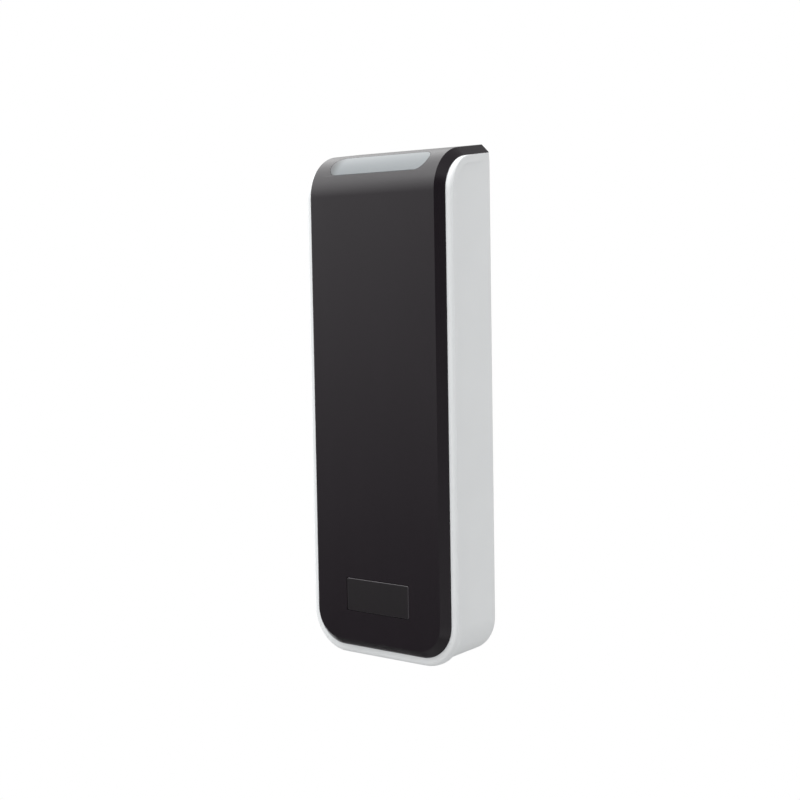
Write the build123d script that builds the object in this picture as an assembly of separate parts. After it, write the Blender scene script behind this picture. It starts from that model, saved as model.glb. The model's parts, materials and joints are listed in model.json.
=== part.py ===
"""Narrow wall-mounted RFID card reader: a white surround housing with a dark one-piece front
cover that curves over the top, hung on a wall plate. Millimetres, +Z up, front face towards -Y,
origin in the middle of the wall plate's back face."""
import os
from math import atan2, cos, degrees, pi, radians, sin, tan

from build123d import *

# Overall size of the closed reader
height = 150.0
width = 55.7
depth = 23.2
top_z = height / 2
bottom_z = -height / 2

# Front cover: a slab that stands proud of the housing rim and rolls over the top
cover_thickness = 2.45
cover_chamfer = 2.25
cover_radius = 12.5
roof_tilt = 6.8
rim_width = 2.2
rim_bottom = 2.6
cover_corner = 10.5
cover_back_y = -0.2
cover_half = width / 2 - rim_width
cover_foot_z = bottom_z + rim_bottom
cover_inner_y = -depth + cover_thickness

# Skirt of the cover, and the housing opening it drops into
skirt_half = 22.2
skirt_wall = 1.2
skirt_reach = 2.3
skirt_top_z = 57.0
skirt_bottom_z = cover_foot_z + 4.4
skirt_corner = 8.0
fit_gap = 0.2

# Adhesive gasket under the cover's edge, in its groove
seal_half = 24.4
seal_width = 1.2
seal_play = 0.1
seal_low_z = cover_foot_z + 1.6
seal_high_z = skirt_top_z + 2.4
seal_corner = cover_corner - 1.4
seal_y = (cover_inner_y, cover_inner_y + 0.8)

# Light window on the curve of the cover, seen along its own direction
light_angle = 48.0
light_width = 36.6
light_height = 7.9
light_corner = 3.6

# Badge in its recess near the bottom of the cover
badge_width = 23.6
badge_height = 9.6
badge_z = bottom_z + 18.6
badge_recess = 0.7
badge_thickness = 0.6
adhesive_thickness = 0.15

# Housing
housing_corner = 12.5
lip_depth = 2.2
lip_fillet = 1.4
wall_inset = 2.15
floor_inset = 1.3
side_wall = 1.6
floor_wall = 2.0
roof_wall = 1.8
ledge_thickness = 2.2
ledge_y = cover_inner_y + ledge_thickness
housing_back_y = -0.2
bulkhead_thickness = 1.2
hook_bay_y = -8.4
case_boss_radius = 3.0
case_pilot_depth = 7.5
lock_boss_radius = 4.2

# Wall plate and the hooks the reader swings on
plate_thickness = 2.0
plate_corner = 7.0
rail_inset = 3.0
rail_width = 1.2
rail_height = 1.2
rail_z = (-60.0, 58.0)
plate_half = 22.3
plate_top_z = 68.5
plate_bottom_z = -70.9
pivot_y = -4.0
pivot_z = 68.0
bead_radius = 1.2
bead_clearance = 0.08
saddle_radius = 2.2
hook_spread = 13.0
hook_width = 7.0
saddle_width = 5.5
hook_drop = 4.0
hook_shelf = 1.8
swing_angle = 6.0
slot_spacing = 83.3
slot_radius = 2.2
slot_length = 8.0
cable_z = -14.0
cable_hole_radius = 7.0
cable_bore_radius = 4.5

# Rear cover and the board stack that stands on it
rear_back_y = -5.0
rear_front_y = -6.6
rear_half = 23.8
rear_top_z = 61.0
rear_bottom_z = -65.2
main_back_y = -13.6
main_front_y = -15.2
main_half = 18.2
main_top_z = 50.0
main_bottom_z = -48.0
antenna_back_y = -17.2
antenna_front_y = -18.0
antenna_half = 19.0
antenna_reach_z = 44.0
board_screw_x = 16.0
board_screw_z = 40.0
case_screw_x = 21.6
case_screw_z = (-58.0, 52.0)
board_stand_radius = 2.8
vent_count = 5
vent_pitch = 2.0
vent_width = 0.9
vent_low_z = 28.0
screw_radius = 1.1

# Tamper plunger
tamper_z = -34.0
tamper_radius = 1.5
switch_rear_y = -10.6
collar_y = -9.2
tamper_tip_y = -0.1
tamper_hole_radius = 3.2

# Security screw in the bottom of the housing
lock_y = -6.5
lock_tip_z = -68.4
lock_head_z = -73.5
lock_head_height = 1.6
lock_head_radius = 2.4
lock_shank_radius = 1.5
lock_floor_z = -69.0
lock_boss_top_z = -68.3
washer_height = 0.4
tab_bottom_z = -67.8
tab_top_z = -65.8
tab_half = 5.5
insert_radius = 2.3

# Terminal block
poles = 6
pole_pitch = 3.81
terminal_z = 14.0
terminal_height = 9.0
terminal_rear_y = -5.4
terminal_half = poles * pole_pitch / 2 + 0.8
pole_places = [(i - (poles - 1) / 2) * pole_pitch for i in range(poles)]
screw_well_depth = 3.5
screw_well_z = terminal_z + 1.2
wire_port_y = (-11.8, -9.2)
wire_port_half = 1.3
wire_port_top_z = terminal_z + 2.8
clamp_gap = 0.05
clamp_wall = 0.35
clamp_bottom_z = terminal_z - 2.4

# Printed coil of the antenna board
coil_half_x = 13.0
coil_half_z = 36.5
coil_pitch = 1.2
coil_turns = 4
coil_trace = 0.7
coil_thickness = 0.12

tilt = radians(roof_tilt)
arc_y = -depth + cover_radius
arc_z = top_z + (arc_y - cover_radius * sin(tilt)) * tan(tilt) - cover_radius * cos(tilt)


def block(x, y, z):
    """Box from three (low, high) pairs."""
    size = [pair[1] - pair[0] for pair in (x, y, z)]
    centre = [(pair[0] + pair[1]) / 2 for pair in (x, y, z)]
    return Pos(*centre) * Box(*size)


def rod_x(x, y, z, radius):
    return Pos((x[0] + x[1]) / 2, y, z) * Rot(0, 90, 0) * Cylinder(radius, x[1] - x[0])


def rod_y(x, y, z, radius):
    return Pos(x, (y[0] + y[1]) / 2, z) * Rot(90, 0, 0) * Cylinder(radius, y[1] - y[0])


def rod_z(x, y, z, radius):
    return Pos(x, y, (z[0] + z[1]) / 2) * Cylinder(radius, z[1] - z[0])


def skin_solid(inset, half, back_y=1.0, low_z=bottom_z - 5):
    """Everything behind the cover's side profile, taken `inset` inside its outer skin."""
    radius = cover_radius - inset
    end_y = arc_y - radius * sin(tilt)
    end_z = arc_z + radius * cos(tilt)
    middle = (pi / 2 - tilt) / 2
    front_y = -depth + inset
    back_z = end_z + (back_y - end_y) * tan(tilt)
    edge = Polyline((end_y, end_z), (back_y, back_z), (back_y, low_z), (front_y, low_z), (front_y, arc_z))
    arc = ThreePointArc(
        (front_y, arc_z), (arc_y - radius * cos(middle), arc_z + radius * sin(middle)), (end_y, end_z)
    )
    profile = Plane.YZ * make_face(edge + arc)
    return extrude(profile, half, both=True)


def outline_solid(half, low_z, corner, y, high_z=top_z + 10, draft=0.0):
    """A tall panel with its two bottom corners rounded, from y[1] forward to y[0]."""
    panel = RectangleRounded(2 * half, high_z - low_z + corner * 2, corner)
    panel = Pos(0, (high_z + low_z) / 2 + corner) * panel
    return extrude(Plane.XZ.offset(-y[1]) * panel, y[1] - y[0], taper=-draft)


def ring_panel(half, low_z, high_z, corner, y):
    """A panel with all four corners rounded."""
    panel = Pos(0, (high_z + low_z) / 2) * RectangleRounded(2 * half, high_z - low_z, corner)
    return extrude(Plane.XZ.offset(-y[1]) * panel, y[1] - y[0])


def on_light_axis(shape, radius):
    """Puts a shape drawn about the origin at that radius on the light window's direction."""
    angle = radians(light_angle)
    plane = Plane(origin=(0, arc_y, arc_z), x_dir=(1, 0, 0), z_dir=(0, -cos(angle), sin(angle)))
    return plane.offset(radius) * shape


def swing_relief():
    """The wall as the swung reader meets it: cut away so that the top edge clears it."""
    wall = Pos(0, 25 - 0.05, 0) * Box(200, 50, 400)
    shift = Pos(0, pivot_y, pivot_z)
    return shift * Rot(swing_angle, 0, 0) * Pos(0, -pivot_y, -pivot_z) * wall


def side_loop(shape, half):
    """Edges round the cover's outer skin, without the seams that cross it."""
    found = []
    for edge in shape.edges():
        middle = edge @ 0.5
        ends = (edge @ 0, edge @ 1)
        across = abs(ends[0].Y - ends[1].Y) < 0.01 and abs(ends[0].Z - ends[1].Z) < 0.01
        on_front = abs(middle.Y + depth) < 0.01
        seam = across and middle.Z > 0
        from_arc = ((middle.Y - arc_y) ** 2 + (middle.Z - arc_z) ** 2) ** 0.5
        on_arc = abs(from_arc - cover_radius) < 0.02 and middle.Z > arc_z
        roof_z = top_z + middle.Y * tan(tilt)
        on_roof = abs(middle.Z - roof_z) < 0.02 and middle.Y > arc_y - 2
        at_side = abs(abs(middle.X) - half) < 0.01
        if (on_front and not seam) or (at_side and (on_arc or on_roof)):
            found.append(edge)
    return found


def light_opening(grow):
    """The light window's prism, through cover and housing."""
    outline = RectangleRounded(light_width + 2 * grow, light_height + 2 * grow, light_corner + grow)
    return on_light_axis(extrude(outline, 10), 5)


def pan_screw(x, z, head_y, tip_y, head_radius=2.0, head_height=1.2):
    """Pan-head screw along Y with a cross recess; it points from head_y to tip_y."""
    way = 1 if tip_y > head_y else -1
    outer_y = head_y - way * head_height
    head = rod_y(x, sorted((outer_y, head_y)), z, head_radius)
    rim = head.edges().filter_by(GeomType.CIRCLE)
    rim = [edge for edge in rim if abs(edge.center().Y - outer_y) < 0.01]
    head = fillet(rim, 0.5)
    shank = rod_y(x, sorted((head_y, tip_y)), z, screw_radius)
    slot_y = sorted((outer_y, outer_y + way * 0.6))
    cross = block((x - 1.1, x + 1.1), slot_y, (z - 0.22, z + 0.22))
    cross += block((x - 0.22, x + 0.22), slot_y, (z - 1.1, z + 1.1))
    return head + shank - cross


def make_cover_slab():
    outer = skin_solid(0, cover_half, cover_back_y)
    outer &= outline_solid(cover_half, cover_foot_z, cover_corner, (-depth - 2, 2))
    outer = chamfer(side_loop(outer, cover_half), cover_chamfer)
    return outer - skin_solid(cover_thickness, cover_half + 1)


def make_front_cover(slab):
    ring_y = (cover_inner_y, cover_inner_y + skirt_reach)
    skirt = ring_panel(skirt_half, skirt_bottom_z, skirt_top_z, skirt_corner, ring_y)
    skirt -= ring_panel(
        skirt_half - skirt_wall, skirt_bottom_z + skirt_wall, skirt_top_z - skirt_wall,
        skirt_corner - skirt_wall, (ring_y[0] - 1, ring_y[1] + 1),
    )
    cover = slab + skirt - light_opening(0) - swing_relief()
    recess = ring_panel(
        badge_width / 2 + 0.2, badge_z - badge_height / 2 - 0.2, badge_z + badge_height / 2 + 0.2, 0.6,
        (-depth - 1, -depth + badge_recess),
    )
    return cover - recess


def seal_ring(grow):
    """The gasket, or with some growth the groove that it lies in."""
    inset = seal_width + grow
    outer = ring_panel(
        seal_half + grow, seal_low_z - grow, seal_high_z + grow, seal_corner + grow, seal_y
    )
    inner = ring_panel(
        seal_half - inset, seal_low_z + inset, seal_high_z - inset, seal_corner - inset, (-depth, 0)
    )
    return outer - inner


def make_housing():
    shell = outline_solid(
        width / 2 - wall_inset, bottom_z + floor_inset, housing_corner - floor_inset,
        (-depth, housing_back_y), draft=degrees(atan2(wall_inset * 0.5, depth)),
    )
    shell &= skin_solid(cover_thickness + lip_depth / 2, width)
    lip = skin_solid(cover_thickness, width / 2, housing_back_y, bottom_z - 1)
    lip &= outline_solid(width / 2, bottom_z, housing_corner, (-depth, housing_back_y))
    rims = []
    for edge in lip.edges():
        middle = edge @ 0.5
        across = abs((edge @ 0).X - (edge @ 1).X) > 1
        outside = abs(abs(middle.X) - width / 2) < 0.01 and not across
        front = abs(middle.Y - cover_inner_y) < 0.01 and middle.Z < arc_z - 1
        roof_z = top_z - cover_thickness / cos(tilt) + middle.Y * tan(tilt)
        from_arc = ((middle.Y - arc_y) ** 2 + (middle.Z - arc_z) ** 2) ** 0.5
        rolled = abs(from_arc - cover_radius + cover_thickness) < 0.02 and middle.Z > arc_z
        roofed = abs(middle.Z - roof_z) < 0.02 and middle.Y < housing_back_y - 1
        if front or (outside and (rolled or roofed)):
            rims.append(edge)
    lip = fillet(rims, lip_fillet)
    lip_run = housing_back_y - cover_inner_y
    lip &= outline_solid(
        width / 2 - wall_inset, bottom_z, housing_corner,
        (cover_inner_y, housing_back_y), draft=degrees(atan2(wall_inset, lip_run)),
    )
    lip -= skin_solid(cover_thickness + lip_depth, width)
    housing = shell + lip
    hollow = skin_solid(cover_thickness + roof_wall, width)
    hollow &= outline_solid(
        width / 2 - wall_inset - side_wall, bottom_z + floor_inset + floor_wall, housing_corner - 3,
        (ledge_y, 2),
    )
    housing -= hollow
    inner_half = width / 2 - wall_inset - side_wall + 0.3
    for x in (-case_screw_x, case_screw_x):
        for z in case_screw_z:
            housing += rod_y(x, (ledge_y - 0.5, rear_front_y), z, case_boss_radius)
            housing -= rod_y(x, (rear_front_y - case_pilot_depth, rear_front_y + 1), z, screw_radius)
    span = (-inner_half, inner_half)
    bay_foot = (rear_top_z - bulkhead_thickness, rear_top_z)
    hook_bay = block(span, (hook_bay_y, hook_bay_y + bulkhead_thickness), (bay_foot[0], top_z))
    hook_bay += block(span, (hook_bay_y, rear_front_y), bay_foot)
    screw_bay_z = (rear_bottom_z, rear_bottom_z + bulkhead_thickness)
    screw_bay = block(span, (ledge_y - 0.5, rear_front_y), screw_bay_z)
    housing += (hook_bay + screw_bay) & skin_solid(cover_thickness + 0.5, width)
    housing -= ring_panel(
        skirt_half + fit_gap, skirt_bottom_z - fit_gap, skirt_top_z + fit_gap, skirt_corner + fit_gap,
        (-depth, cover_inner_y + skirt_reach + fit_gap),
    )
    housing -= light_opening(0.1)
    housing += rod_z(0, lock_y, (bottom_z + floor_inset + 0.3, lock_boss_top_z), lock_boss_radius)
    housing -= rod_z(0, lock_y, (bottom_z - 1, lock_floor_z), lock_head_radius + 0.25)
    housing -= rod_z(0, lock_y, (bottom_z - 1, 0), lock_shank_radius + 0.1)
    for x in (-hook_spread, hook_spread):
        housing += make_saddle(x)
    housing -= seal_ring(seal_play)
    return housing - swing_relief()


def make_saddle(x):
    """Half ring under the housing roof that hangs on one bead of the wall plate."""
    span = (x - saddle_width / 2, x + saddle_width / 2)
    ring = rod_x(span, pivot_y, pivot_z, saddle_radius)
    ring += block(span, (pivot_y - saddle_radius, pivot_y + 0.8), (pivot_z, pivot_z + 3))
    ring -= rod_x((span[0] - 1, span[1] + 1), pivot_y, pivot_z, bead_radius + bead_clearance)
    wide = (span[0] - 1, span[1] + 1)
    ring -= block(wide, (-20, 0), (pivot_z - 5, pivot_z - 0.6))
    ring -= block(wide, (pivot_y + 0.8, 0), (pivot_z - 5, pivot_z + 1.0))
    ring -= block(wide, (pivot_y + 1.4, 0), (pivot_z - 5, pivot_z + 5))
    return ring


def make_mounting_plate():
    plate = ring_panel(plate_half, plate_bottom_z, plate_top_z, plate_corner, (-plate_thickness, 0))
    for z in (-slot_spacing / 2, slot_spacing / 2):
        slot = Plane.XZ * Pos(0, z) * Rot(0, 0, 90) * SlotOverall(slot_length, 2 * slot_radius)
        plate -= extrude(slot, 10, both=True)
    plate -= rod_y(0, (-10, 10), cable_z, cable_hole_radius)
    for x in (-hook_spread, hook_spread):
        span = (x - hook_width / 2, x + hook_width / 2)
        shelf_z = (pivot_z - hook_drop, pivot_z - hook_drop + hook_shelf)
        plate += block(span, (pivot_y - 1, -plate_thickness / 2), shelf_z)
        plate += block(span, (pivot_y - 1, pivot_y + 1), (pivot_z - hook_drop, pivot_z))
        plate += rod_x(span, pivot_y, pivot_z, bead_radius)
    plate += block((-tab_half, tab_half), (lock_y - 3, -plate_thickness / 2), (tab_bottom_z, tab_top_z))
    plate -= rod_z(0, lock_y, (tab_bottom_z - 1, tab_top_z + 1), insert_radius)
    plate -= rod_y(0, (-10, 10), tamper_z, tamper_hole_radius)
    for x in (-plate_half + rail_inset, plate_half - rail_inset):
        rail_x = (x - rail_width / 2, x + rail_width / 2)
        plate += block(rail_x, (-plate_thickness - rail_height, -1), rail_z)
    return plate


def make_grommet():
    sleeve = rod_y(0, (-plate_thickness - 0.1, 0), cable_z, cable_hole_radius)
    flange = rod_y(0, (-plate_thickness - 1.0, -plate_thickness), cable_z, cable_hole_radius + 1.5)
    rims = [edge for edge in flange.edges().filter_by(GeomType.CIRCLE) if edge.center().Y < -2.5]
    flange = fillet(rims, 0.4)
    return sleeve + flange - rod_y(0, (-10, 10), cable_z, cable_bore_radius)


def make_rear_cover():
    cover = ring_panel(rear_half, rear_bottom_z, rear_top_z, 2.0, (rear_front_y, rear_back_y))
    cover -= ring_panel(terminal_half + 0.8, -20, terminal_z + 5.5, 2.0, (-8, 0))
    cover -= rod_y(0, (-8, 0), tamper_z, tamper_radius + 0.06)
    for x in (-board_screw_x, board_screw_x):
        for z in (-board_screw_z, board_screw_z):
            cover += rod_y(x, (main_back_y, rear_front_y), z, board_stand_radius)
            cover -= rod_y(x, (main_back_y - 1, -8), z, screw_radius)
    for x in (-case_screw_x, case_screw_x):
        for z in case_screw_z:
            cover -= rod_y(x, (-8, 0), z, screw_radius + 0.2)
    for i in range(vent_count):
        low_z = vent_low_z + i * vent_pitch
        cover -= block((-12, 0), (-8, 0), (low_z, low_z + vent_width))
    return cover


def make_board(half, z, y):
    board = ring_panel(half, z[0], z[1], 1.5, y)
    for x in (-board_screw_x, board_screw_x):
        for screw_z in (-board_screw_z, board_screw_z):
            board -= rod_y(x, (-30, 0), screw_z, screw_radius + 0.15)
    return board


def make_coil():
    """Rectangular turns of copper on the front of the antenna board."""
    y = (antenna_front_y - coil_thickness, antenna_front_y)
    corners = [(-coil_half_x, coil_half_z)]
    for turn in range(coil_turns):
        step = turn * coil_pitch
        corners.append((coil_half_x - step, coil_half_z - step))
        corners.append((coil_half_x - step, -coil_half_z + step))
        corners.append((-coil_half_x + step, -coil_half_z + step))
        corners.append((-coil_half_x + step, coil_half_z - step - coil_pitch))
    coil = None
    for (x0, z0), (x1, z1) in zip(corners, corners[1:]):
        x = (min(x0, x1) - coil_trace / 2, max(x0, x1) + coil_trace / 2)
        z = (min(z0, z1) - coil_trace / 2, max(z0, z1) + coil_trace / 2)
        run = block(x, y, z)
        coil = run if coil is None else coil + run
    return coil


def make_light_guide():
    """Clear bar that carries the light from the LEDs to the window, with two clip legs."""
    guide = on_light_axis(Box(light_width - 2, light_height - 2.4, 4.2), 7.9)
    for x in (-light_width / 2 + 2, light_width / 2 - 2):
        guide += on_light_axis(Pos(x, 0, 0) * Box(1.6, light_height - 2.4, 3.2), 4.4)
    return guide & skin_solid(cover_thickness + 0.02, width)


def make_led(x):
    chip = Box(3.2, 2.8, 1.0)
    dome = Pos(0, 0, 0.5) * Cylinder(1.1, 0.4)
    return on_light_axis(Pos(x, 0, 0) * (chip + dome), 4.4)


def make_terminal_block():
    low_z = terminal_z - terminal_height / 2
    body = block(
        (-terminal_half, terminal_half), (main_back_y, terminal_rear_y), (low_z, low_z + terminal_height)
    )
    well_y = (terminal_rear_y - screw_well_depth, terminal_rear_y + 1)
    for x in pole_places:
        body -= rod_y(x, well_y, screw_well_z, 1.5)
        port_x = (x - wire_port_half, x + wire_port_half)
        body -= block(port_x, wire_port_y, (low_z - 1.5, wire_port_top_z))
    return body


def make_terminal_screw(x):
    head_y = (terminal_rear_y - screw_well_depth, terminal_rear_y - 1.2)
    head = rod_y(x, head_y, screw_well_z, 1.4)
    slot_z = (screw_well_z - 0.2, screw_well_z + 0.2)
    return head - block((x - 2, x + 2), (head_y[1] - 0.7, 0), slot_z)


def make_clamp(x):
    """Brass cage round one wire port."""
    half = wire_port_half - clamp_gap
    y = (wire_port_y[0] + clamp_gap, wire_port_y[1] - clamp_gap)
    outer = block((x - half, x + half), y, (clamp_bottom_z, wire_port_top_z - 0.2))
    inner_x = (x - half + clamp_wall, x + half - clamp_wall)
    inner_y = (y[0] + clamp_wall, y[1] - 1.3 * clamp_wall)
    return outer - block(inner_x, inner_y, (terminal_z - 6, terminal_z + 6))


def make_plunger():
    shaft = rod_y(0, (collar_y, tamper_tip_y), tamper_z, tamper_radius)
    circles = shaft.edges().filter_by(GeomType.CIRCLE)
    shaft = fillet([edge for edge in circles if edge.center().Y > tamper_tip_y - 0.1], 0.5)
    collar = rod_y(0, (collar_y, collar_y + 0.7), tamper_z, 2.2)
    return shaft + collar + rod_y(0, (switch_rear_y + 0.2, collar_y), tamper_z, 0.8)


def make_spring():
    wire = 0.17
    coils = 2.5
    rise = collar_y - switch_rear_y - 2 * wire - 0.04
    path = Helix(pitch=rise / coils, height=rise, radius=1.5)
    section = Plane(origin=path @ 0, z_dir=path % 0) * Circle(wire)
    coil = sweep(section, path=path, is_frenet=True)
    return Pos(0, collar_y - wire - 0.02, tamper_z) * Rot(90, 0, 0) * coil


def make_security_screw():
    """Button-head screw with a six-lobed socket, backed out clear of the wall plate's tab."""
    head = rod_z(0, lock_y, (lock_head_z, lock_head_z + lock_head_height), lock_head_radius)
    circles = head.edges().filter_by(GeomType.CIRCLE)
    head = fillet([edge for edge in circles if edge.center().Z < lock_head_z + 0.1], 0.7)
    shank = rod_z(0, lock_y, (lock_head_z + lock_head_height, lock_tip_z), lock_shank_radius)
    circles = shank.edges().filter_by(GeomType.CIRCLE)
    shank = chamfer([edge for edge in circles if edge.center().Z > lock_tip_z - 0.1], 0.3)
    socket_z = (lock_head_z - 1, lock_head_z + 1.0)
    socket = rod_z(0, lock_y, socket_z, 0.95)
    for i in range(6):
        angle = radians(60 * i)
        socket += rod_z(0.95 * cos(angle), lock_y + 0.95 * sin(angle), socket_z, 0.3)
    pin = rod_z(0, lock_y, (lock_head_z + 0.2, lock_head_z + 1.0), 0.35)
    return head + shank - socket + pin


def make_insert():
    insert = rod_z(0, lock_y, (tab_bottom_z, tab_top_z), insert_radius)
    return insert - rod_z(0, lock_y, (tab_bottom_z - 1, tab_top_z + 1), lock_shank_radius + 0.06)


def front_part(x, z, size_x, size_z, tall):
    """A component on the front of the main board."""
    span_x = (x - size_x / 2, x + size_x / 2)
    return block(span_x, (main_front_y - tall, main_front_y), (z - size_z / 2, z + size_z / 2))


def back_part(x, z, size_x, size_z, tall):
    """A component on the back of the main board."""
    span_x = (x - size_x / 2, x + size_x / 2)
    return block(span_x, (main_back_y, main_back_y + tall), (z - size_z / 2, z + size_z / 2))


def group(shapes):
    solids = []
    for shape in shapes:
        solids.extend(shape.solids())
    return Compound(children=solids)


def save(name, shape):
    export_step(shape, f"parts/{name}.step")


board_screws = [(x, z) for x in (-board_screw_x, board_screw_x) for z in (-board_screw_z, board_screw_z)]
case_screws = [(x, z) for x in (-case_screw_x, case_screw_x) for z in case_screw_z]
os.makedirs("parts", exist_ok=True)

# Wall side
save("mounting_plate", make_mounting_plate())
save("cable_grommet", make_grommet())
save("threaded_insert", make_insert())

# Shells
slab = make_cover_slab()
save("front_cover", make_front_cover(slab))
save("light_window", slab & light_opening(-0.06))
save("housing", make_housing())
save("rear_cover", make_rear_cover())
save("cover_seal", seal_ring(0))
badge_back_y = -depth + badge_recess - adhesive_thickness
badge_low_z = badge_z - badge_height / 2
badge_high_z = badge_z + badge_height / 2
badge_y = (badge_back_y - badge_thickness, badge_back_y)
badge = ring_panel(badge_width / 2, badge_low_z, badge_high_z, 0.5, badge_y)
save("badge", chamfer(badge.faces().sort_by(Axis.Y)[0].edges(), 0.12))
glue_y = (badge_back_y, badge_back_y + adhesive_thickness)
save("badge_adhesive", ring_panel(badge_width / 2 - 0.8, badge_low_z + 0.8, badge_high_z - 0.8, 0.5, glue_y))

# Light bar
save("light_guide", make_light_guide())
save("led_board", on_light_axis(Box(light_width - 6, 7.0, 1.0), 3.4))
save("leds", group(make_led(x) for x in (-13, -6.5, 0, 6.5, 13)))

# Boards and what stands on them
save("main_board", make_board(main_half, (main_bottom_z, main_top_z), (main_front_y, main_back_y)))
antenna_y = (antenna_front_y, antenna_back_y)
save("antenna_board", make_board(antenna_half, (-antenna_reach_z, antenna_reach_z), antenna_y))
save("antenna_coil", make_coil())
save("ferrite_sheet", block((-14.2, 14.2), (antenna_back_y, antenna_back_y + 0.3), (-38.2, 38.2)))
save("board_header", block((-4, 4), (antenna_back_y, main_front_y), (-42.9, -40.5)))
spacer_y = (antenna_back_y, main_front_y)
save("board_spacers", group(
    rod_y(x, spacer_y, z, 2.4) - rod_y(x, (-20, 0), z, screw_radius + 0.15) for x, z in board_screws))
save("board_screws", group(pan_screw(x, z, antenna_front_y, -9.0) for x, z in board_screws))
save("case_screws", group(pan_screw(x, z, rear_back_y, -13.0) for x, z in case_screws))
save("controller_chip", front_part(0, -20, 10, 10, 1.2))
save("radio_chip", front_part(0, 12, 5, 5, 0.9))
save("crystal", front_part(7, 12, 3.2, 2.5, 0.8))
save("capacitors", group(front_part(x, z, 2.0, 1.25, 1.0) for x in (-12, 12) for z in (-28, -24, -20, -16)))
save("voltage_regulator", front_part(0, 32, 6.5, 3.5, 1.4))
save("power_inductor", fillet(back_part(8, 32, 6, 6, 3).edges().filter_by(Axis.Y), 1.2))
buzzer = rod_y(-6, (main_back_y, main_back_y + 5), 32, 6.0) - rod_y(-6, (main_back_y + 4, -7), 32, 0.9)
save("buzzer", buzzer)
save("terminal_block", make_terminal_block())
save("terminal_screws", group(make_terminal_screw(x) for x in pole_places))
save("terminal_clamps", group(make_clamp(x) for x in pole_places))

# Tamper switch
save("tamper_switch", back_part(0, tamper_z, 6.5, 6.5, switch_rear_y - main_back_y))
save("tamper_plunger", make_plunger())
save("tamper_spring", make_spring())

# Security screw
save("security_screw", make_security_screw())
washer_z = (lock_head_z + lock_head_height, lock_head_z + lock_head_height + washer_height)
save("screw_washer", rod_z(0, lock_y, washer_z, 2.4) - rod_z(0, lock_y, (-80, 0), lock_shank_radius + 0.06))
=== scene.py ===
"""Looks of a narrow wall-mounted RFID card reader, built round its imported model. Metres, +Z up,
front face towards -Y, origin in the middle of the wall plate's back face."""
import json
from math import cos, radians, sin

import bmesh
import bpy
from mathutils import Matrix, Vector


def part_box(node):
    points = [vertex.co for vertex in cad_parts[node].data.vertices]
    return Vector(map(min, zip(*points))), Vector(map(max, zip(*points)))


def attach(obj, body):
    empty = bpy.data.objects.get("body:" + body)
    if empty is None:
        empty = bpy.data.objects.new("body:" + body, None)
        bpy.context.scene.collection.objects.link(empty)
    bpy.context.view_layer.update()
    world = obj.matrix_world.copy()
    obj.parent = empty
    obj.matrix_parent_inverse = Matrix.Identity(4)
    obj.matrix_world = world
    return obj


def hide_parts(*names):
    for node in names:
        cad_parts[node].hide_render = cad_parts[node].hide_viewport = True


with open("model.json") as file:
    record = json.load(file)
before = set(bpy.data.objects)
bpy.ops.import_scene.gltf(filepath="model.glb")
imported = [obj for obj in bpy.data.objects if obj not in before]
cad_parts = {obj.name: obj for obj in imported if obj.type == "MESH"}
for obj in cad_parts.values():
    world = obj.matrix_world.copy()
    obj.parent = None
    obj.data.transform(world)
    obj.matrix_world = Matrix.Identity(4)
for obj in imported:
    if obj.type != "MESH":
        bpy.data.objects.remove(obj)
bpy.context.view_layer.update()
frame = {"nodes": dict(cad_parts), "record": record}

# Camera. It stands to the right of the reader, a little above its middle and a little under half a
# metre away, so that the front, the right side and the curved top all show.
camera_azimuth = radians(40.18)
camera_elevation = radians(4.34)
camera_roll = radians(-0.96)
camera_distance = 0.4628
camera_target = Vector((0.0007, -0.01225, 0.00106))

camera_data = bpy.data.cameras.new("camera")
camera_data.lens = 70.55
camera_data.sensor_width = 36
camera_data.clip_start = 0.01
camera = bpy.data.objects.new("camera", camera_data)
bpy.context.scene.collection.objects.link(camera)
bpy.context.scene.camera = camera
away = Vector((
    sin(camera_azimuth) * cos(camera_elevation),
    -cos(camera_azimuth) * cos(camera_elevation),
    sin(camera_elevation),
))
level = Vector((0, 0, 1)).cross(away).normalized()
upright = away.cross(level)
side = level * cos(camera_roll) + upright * sin(camera_roll)
over = upright * cos(camera_roll) - level * sin(camera_roll)
turn = Matrix((side, over, away)).transposed().to_4x4()
camera.matrix_world = Matrix.Translation(camera_target + camera_distance * away) @ turn
bpy.context.scene.view_settings.view_transform = "Standard"


def add_node(tree, kind, inputs=None, **settings):
    """A node with its settings, whose inputs, by name or number, get values or links."""
    made = tree.nodes.new(kind)
    for name, value in settings.items():
        setattr(made, name, value)
    for name, value in (inputs or {}).items():
        if isinstance(value, bpy.types.NodeSocket):
            tree.links.new(value, made.inputs[name])
        else:
            made.inputs[name].default_value = value
    return made


# Studio. A white room seen directly, and what the glossy cover mirrors in it: a soft box high on
# the left, a bright wall on the right, a dim room behind the camera and a table top below.
world = bpy.data.worlds.new("studio")
bpy.context.scene.world = world
world.use_nodes = True
sky = world.node_tree
sky.nodes.clear()
direction = add_node(sky, "ShaderNodeTexCoord").outputs["Generated"]


def glow_towards(way, edge, core, far_value, near_value):
    """Brightness that changes softly from far_value to near_value about one direction."""
    aim = Vector(way).normalized()
    dot = add_node(sky, "ShaderNodeVectorMath", {0: direction, 1: aim}, operation="DOT_PRODUCT")
    ramp = add_node(sky, "ShaderNodeMapRange", {
        "Value": dot.outputs["Value"], "From Min": edge, "From Max": core,
        "To Min": far_value, "To Max": near_value,
    }, interpolation_type="SMOOTHSTEP")
    return ramp.outputs["Result"]


def combine(operation, first, second):
    return add_node(sky, "ShaderNodeMath", {0: first, 1: second}, operation=operation).outputs[0]


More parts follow.
